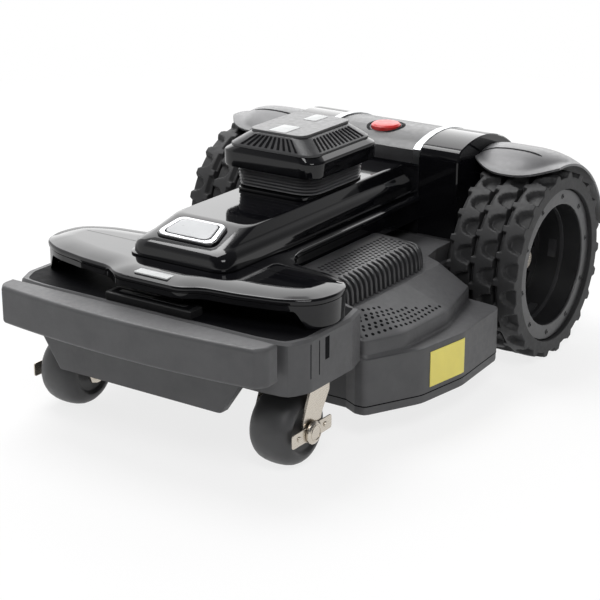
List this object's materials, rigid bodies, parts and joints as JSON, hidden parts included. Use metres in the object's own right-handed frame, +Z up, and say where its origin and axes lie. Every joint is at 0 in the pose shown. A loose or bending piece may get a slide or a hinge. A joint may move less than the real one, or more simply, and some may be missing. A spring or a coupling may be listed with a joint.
{
  "type": "robotic lawn mower",
  "caption": "Robotic lawn mower with lugged drive wheels, front casters, a lifting cutting unit under a gloss cover, a sprung bumper and a stop button.",
  "frame": {"origin": "centre of the bounding box at ground level", "axes": "+Z up, -Y forward towards the bumper, +X to the machine's right seen from the front"},
  "size_m": [0.512, 0.73, 0.3193],
  "materials": {
    "gloss_black": "piano gloss",
    "body_grey": "fine grain",
    "fender_grey": "fine grain",
    "dark_plastic": "satin",
    "tyre_rubber": "matte",
    "stainless": "brushed",
    "silver_trim": "satin",
    "chrome": "polished",
    "stop_red": "satin",
    "blade_steel": "ground",
    "circuit_green": "solder mask"
  },
  "bodies": {
    "chassis": {"cutting_deck": "body_grey", "deck_lower_rim": "body_grey", "front_beam": "body_grey", "front_skirt": "body_grey", "contact_block": "dark_plastic", "caster_bearing_left": "body_grey", "caster_bearing_right": "body_grey", "vent_fins_left": "dark_plastic", "vent_fins_right": "dark_plastic", "vent_roof_left": "body_grey", "vent_roof_right": "body_grey", "body_cover": "gloss_black", "spine_cover": "gloss_black", "badge_plate": "chrome", "bellows_collar": "gloss_black", "bellows": "tyre_rubber", "lift_sleeve": "dark_plastic", "hood_centre": "body_grey", "hood_strip_left": "silver_trim", "hood_strip_right": "silver_trim", "rear_hood_left": "gloss_black", "rear_hood_right": "gloss_black", "fender_left": "fender_grey", "fender_right": "fender_grey", "chassis_tub": "body_grey", "battery_pack": "dark_plastic", "control_board": "circuit_green", "stop_switch": "dark_plastic", "gearmotor_left": "dark_plastic", "gearmotor_right": "dark_plastic"},
    "bumper_bar": {"bumper": "body_grey", "bumper_guide_left": "stainless", "bumper_guide_right": "stainless"},
    "stop": {"stop_button": "stop_red"},
    "cutting_unit": {"lift_column": "dark_plastic", "blade_motor": "dark_plastic", "power_unit_base": "dark_plastic", "power_unit_cap": "gloss_black", "power_unit_top_plate": "dark_plastic"},
    "blade_rotor": {"blade": "blade_steel"},
    "wheel_left": {"tyre_left": "tyre_rubber", "rim_left": "dark_plastic", "rim_ring_left": "body_grey", "wheel_shaft_left": "stainless"},
    "wheel_right": {"tyre_right": "tyre_rubber", "rim_right": "dark_plastic", "rim_ring_right": "body_grey", "wheel_shaft_right": "stainless"},
    "caster_left": {"caster_fork_left": "stainless", "caster_stem_left": "stainless", "caster_axle_left": "stainless", "caster_scraper_left": "stainless"},
    "caster_right": {"caster_fork_right": "stainless", "caster_stem_right": "stainless", "caster_axle_right": "stainless", "caster_scraper_right": "stainless"},
    "caster_roller_left": {"caster_wheel_left": "tyre_rubber"},
    "caster_roller_right": {"caster_wheel_right": "tyre_rubber"}
  },
  "joints": [
    {"name": "wheel_left_spin", "type": "hinge", "parent": "chassis", "child": "wheel_left", "pos_m": [-0.2, 0.21528, 0.1225], "axis": [1, 0, 0], "continuous": true},
    {"name": "wheel_right_spin", "type": "hinge", "parent": "chassis", "child": "wheel_right", "pos_m": [0.2, 0.21528, 0.1225], "axis": [1, 0, 0], "continuous": true},
    {"name": "caster_left_swivel", "type": "hinge", "parent": "chassis", "child": "caster_left", "pos_m": [-0.156, -0.23772, 0.12], "axis": [0, 0, 1], "continuous": true},
    {"name": "caster_right_swivel", "type": "hinge", "parent": "chassis", "child": "caster_right", "pos_m": [0.156, -0.23772, 0.12], "axis": [0, 0, 1], "continuous": true},
    {"name": "caster_left_roll", "type": "hinge", "parent": "caster_left", "child": "caster_roller_left", "pos_m": [-0.156, -0.25672, 0.045], "axis": [1, 0, 0], "continuous": true},
    {"name": "caster_right_roll", "type": "hinge", "parent": "caster_right", "child": "caster_roller_right", "pos_m": [0.156, -0.25672, 0.045], "axis": [1, 0, 0], "continuous": true},
    {"name": "cutting_height", "type": "slide", "parent": "chassis", "child": "cutting_unit", "axis": [0, 0, 1], "range_m": [0, 0.03], "deforming": ["bellows"]},
    {"name": "blade_spin", "type": "hinge", "parent": "cutting_unit", "child": "blade_rotor", "pos_m": [0, -0.00122, 0.045], "axis": [0, 0, 1], "continuous": true},
    {"name": "bumper_push", "type": "slide", "parent": "chassis", "child": "bumper_bar", "axis": [0, 1, 0], "range_m": [0, 0.008], "stiffness_N_per_m": 900, "springref_m": -0.004},
    {"name": "stop_press", "type": "slide", "parent": "chassis", "child": "stop", "axis": [0, 0, -1], "range_m": [0, 0.004], "stiffness_N_per_m": 600, "springref_m": -0.003}
  ]
}
